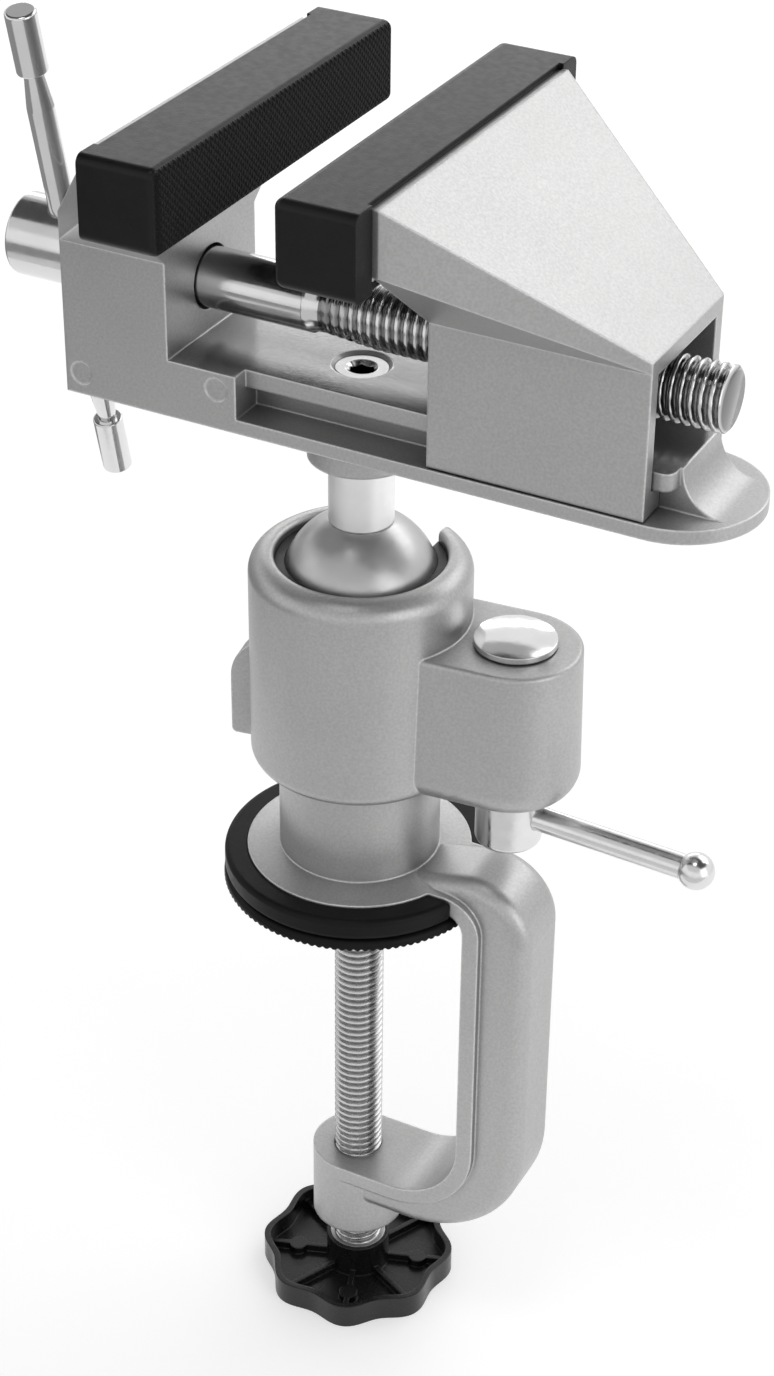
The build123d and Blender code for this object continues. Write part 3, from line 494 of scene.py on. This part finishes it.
def studio():
    """A white tent, grey cards above, on the table and on the left that are painted reflections, showing
    in reflections only, and four softboxes.
    """
    world = bpy.data.worlds.new("studio")
    bpy.context.scene.world = world
    tree = Tree(world, "ShaderNodeOutputWorld")
    fill = tree.add("ShaderNodeBackground", Color=(1, 1, 1, 1), Strength=FILL)
    white = tree.add("ShaderNodeBackground", Color=(1, 1, 1, 1), Strength=1.0)
    tree.links.new(shown_or_lit(tree, white.outputs[0], fill.outputs[0]), tree.out.inputs[0])
    for name, x0, x1, y0, y1, z, level in CARDS:
        card(name, ((x0 + x1) / 2, (y0 + y1) / 2, z), (x1 - x0, y1 - y0), level)
    wall = card("left_wall", *LEFT_WALL)
    wall.rotation_euler = (MIDDLE - wall.location).to_track_quat("Z", "Y").to_euler()
    for name, place, size, brightness in SOFTBOXES:
        softbox(name, place, size, brightness)


def flat_piece(name, place, size):
    """A rectangle in its own XY plane."""
    x, y = size[0] / 2, size[1] / 2
    mesh = bpy.data.meshes.new(name)
    mesh.from_pydata([(-x, -y, 0), (x, -y, 0), (x, y, 0), (-x, y, 0)], [], [(0, 1, 2, 3)])
    piece = bpy.data.objects.new(name, mesh)
    piece.location = place
    bpy.context.scene.collection.objects.link(piece)
    return piece


def card(name, place, size, level):
    """A glowing grey card that shows in reflections only: a painted reflection, which neither lights the
    pieces nor casts shadow.
    """
    piece = flat_piece(name, place, size)
    piece.visible_camera = False
    piece.visible_diffuse = False
    piece.visible_shadow = False
    material = bpy.data.materials.new(name)
    tree = Tree(material, "ShaderNodeOutputMaterial")
    glow = tree.add("ShaderNodeEmission", Color=(1, 1, 1, 1), Strength=level)
    tree.links.new(glow.outputs[0], tree.out.inputs["Surface"])
    piece.data.materials.append(material)
    return piece


def add_floor():
    floor = flat_piece("floor", (0, 0, FLOOR_Z), (FLOOR_SIZE, FLOOR_SIZE))
    material = bpy.data.materials.new("floor")
    tree = Tree(material, "ShaderNodeOutputMaterial")
    board = tree.add("ShaderNodeBsdfDiffuse", Color=(FLOOR_GREY, FLOOR_GREY, FLOOR_GREY, 1))
    glow = tree.add("ShaderNodeEmission", Strength=FLOOR_GLOW)
    lifted = tree.nodes.new("ShaderNodeAddShader")
    tree.links.new(board.outputs[0], lifted.inputs[0])
    tree.links.new(glow.outputs[0], lifted.inputs[1])
    surface = shown_or_lit(tree, lifted.outputs[0], board.outputs[0])
    tree.links.new(surface, tree.out.inputs["Surface"])
    floor.data.materials.append(material)


# ---------------------------------------------------------------- modelled pieces
def along_x(place, radius, angle):
    return Vector((place, -radius * math.sin(angle), SCREW_Z + radius * math.cos(angle)))


def along_z(place, radius, angle):
    return Vector((radius * math.cos(angle), radius * math.sin(angle), place))


def lathe(name, rows, steps, to_point):
    """Skins rows of (place, radius) round an axis, with flat ends; both may depend on the angle."""
    mesh = bmesh.new()
    rings = []
    for place, radius in rows:
        ring = []
        for j in range(steps):
            angle = TURN * j / steps
            reach = radius(angle) if callable(radius) else radius
            where = place(angle) if callable(place) else place
            ring.append(mesh.verts.new(to_point(where, reach, angle)))
        rings.append(ring)
    for a, b in zip(rings, rings[1:]):
        for j in range(steps):
            k = (j + 1) % steps
            mesh.faces.new((a[j], a[k], b[k], b[j]))
    mesh.faces.new(list(reversed(rings[0])))
    mesh.faces.new(rings[-1])
    bmesh.ops.recalc_face_normals(mesh, faces=mesh.faces)
    return add_piece(name, mesh)


def add_piece(name, mesh):
    data = bpy.data.meshes.new(name)
    mesh.to_mesh(data)
    mesh.free()
    data.shade_smooth()
    data.set_sharp_from_angle(angle=SHARP_EDGE)
    piece = bpy.data.objects.new(name, data)
    bpy.context.scene.collection.objects.link(piece)
    return piece


def helix_radius(place, pitch, major, root, fade):
    """The radius of a right-hand thread at one place, as a function of the angle."""
    def radius(angle):
        phase = (place / pitch - angle / TURN) % 1.0
        slope = abs(phase - 0.5) * 2
        height = min(1.0, max(0.0, (slope - ROOT_SHARE) / FLANK_SHARE))
        height = height * height * (3 - 2 * height)
        return root + (major - root) * height * fade
    return radius


def thread_rows(start, end, pitch, major, root, fade_in=0.0):
    """Rows of a thread between two places; fade_in is the length over which its crests rise."""
    count = round((end - start) / pitch * STEPS_PER_PITCH)
    rows = []
    for i in range(count + 1):
        place = start + (end - start) * i / count
        fade = min(1.0, (place - start) / fade_in) if fade_in else 1.0
        rows.append((place, helix_radius(place, pitch, major, root, fade)))
    return rows


def cad_part(name, node, cut_x):
    """A copy of a CAD node's mesh, kept on the low side of a place along X."""
    mesh = bmesh.new()
    mesh.from_mesh(NODES[node].data)
    everything = mesh.verts[:] + mesh.edges[:] + mesh.faces[:]
    bmesh.ops.bisect_plane(mesh, geom=everything, plane_co=(cut_x, 0, 0), plane_no=(1, 0, 0),
                           clear_outer=True)
    return add_piece(name, mesh)


def lead_screw_pieces():
    """The screw's head and shank from the CAD, and its thread as a real helix."""
    head = cad_part("lead_screw_head", "lead_screw", SHANK_CUT_X)
    rows = [(SHANK_CUT_X, SHANK_R), (NECK_X, SHANK_R), (NECK_X + NECK_TAPER, NECK_R)]
    rows.append((THREAD_START_X - TIP_CHAMFER, NECK_R))
    rows += thread_rows(THREAD_START_X, THREAD_END_X - SCREW_PITCH / 4, SCREW_PITCH, SCREW_MAJOR_R,
                        SCREW_ROOT_R, RUN_IN)
    rows.append((THREAD_END_X - TIP_CHAMFER, SCREW_MAJOR_R - TIP_CHAMFER / 2))
    rows.append((THREAD_END_X, SCREW_MAJOR_R - 2 * TIP_CHAMFER))
    thread = lathe("lead_screw_thread", rows, ROUND_STEPS, along_x)
    for piece in (head, thread):
        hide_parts("lead_screw")
        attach(piece, "screw")
    return [head, thread]


def clamp_screw_piece():
    """The clamp screw's thread as a real helix, with the neck and disc of its tip."""
    low, high = (corner.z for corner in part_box("clamp_screw"))
    thread_end = high - TIP_L
    disc_low = high - TIP_DISC_H
    rows = thread_rows(low, thread_end, CLAMP_PITCH, CLAMP_MAJOR_R, CLAMP_ROOT_R)
    rows += [(thread_end, TIP_NECK_R), (disc_low, TIP_NECK_R)]
    rows += [(disc_low, TIP_DISC_R), (high, TIP_DISC_R)]
    piece = lathe("clamp_screw_thread", rows, ROUND_STEPS, along_z)
    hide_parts("clamp_screw")
    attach(piece, "clamp_screw")
    return [piece]


def lower_pad_piece():
    """The rubber cap over the pad plate, serrated round its bottom edge."""
    (_, _, low), (outer, _, high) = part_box("lower_pad")
    inner = outer - PAD_WALL
    web = high - PAD_WEB

    def tooth(angle):
        wave = 0.5 + 0.5 * math.cos(TEETH * angle)
        return low + TOOTH_H * wave ** 2

    def tooth_side(angle):
        return tooth(angle) + TOOTH_BEVEL_H

    rows = [(web, PAD_CENTRE_R), (web, inner), (low, inner), (low, outer - TOOTH_FLAT)]
    rows += [(tooth, outer - TOOTH_BEVEL_W), (tooth_side, outer)]
    rows.append((low + TOOTH_TOP, outer - WALL_DRAFT))
    for i in range(CORNER_STEPS + 1):
        angle = math.pi / 2 * i / CORNER_STEPS
        down = PAD_ROUND_R * (1 - math.sin(angle))
        inward = PAD_ROUND_R * (1 - math.cos(angle))
        rows.append((high - down, outer - inward))
    rows.append((high, PAD_CENTRE_R))
    piece = lathe("lower_pad_cap", rows, TEETH * STEPS_PER_TOOTH, along_z)
    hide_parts("lower_pad")
    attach(piece, "pad")
    return [piece]


# ---------------------------------------------------------------- finishes by piece
def nodes(*names):
    return [NODES[name] for name in names]


def dress(lead_screw, clamp_screw, lower_pad):
    """Gives every piece its finish; the three are the scene's own pieces."""
    pieces_by_finish = {
        cast_alloy: nodes("clamp_frame", "vise_body", "moving_jaw"),
        black_rubber: nodes("upper_pad") + lower_pad,
        knurled_rubber: nodes("fixed_jaw_cover", "moving_jaw_cover"),
        knob_plastic: nodes("hand_knob"),
        liner_plastic: nodes("ball_liner"),
        chrome_plate: nodes("cam_pin", "tommy_bar", "tommy_bar_cap_top", "tommy_bar_cap_bottom"),
        worn_chrome: nodes("lever_hub", "lever_rod", "lever_ball"),
        bolt_chrome: nodes("ball_bolt"),
        lead_screw_steel: lead_screw,
        clamp_screw_steel: clamp_screw,
        zinc_steel: nodes("pad_plate", "pad_collar", "knob_insert"),
        satin_steel: nodes("swivel_ball"),
        polished_steel: nodes("ball_neck"),
        black_steel: nodes("screw_keeper"),
        brass: nodes("lock_shoe", "jaw_nut"),
    }
    for finish, pieces in pieces_by_finish.items():
        material = finish()
        for piece in pieces:
            slots = piece.data.materials
            slots.clear()
            slots.append(material)


bpy.context.scene.view_settings.view_transform = "Standard"
add_camera()
studio()
add_floor()
dress(lead_screw_pieces(), clamp_screw_piece(), lower_pad_piece())
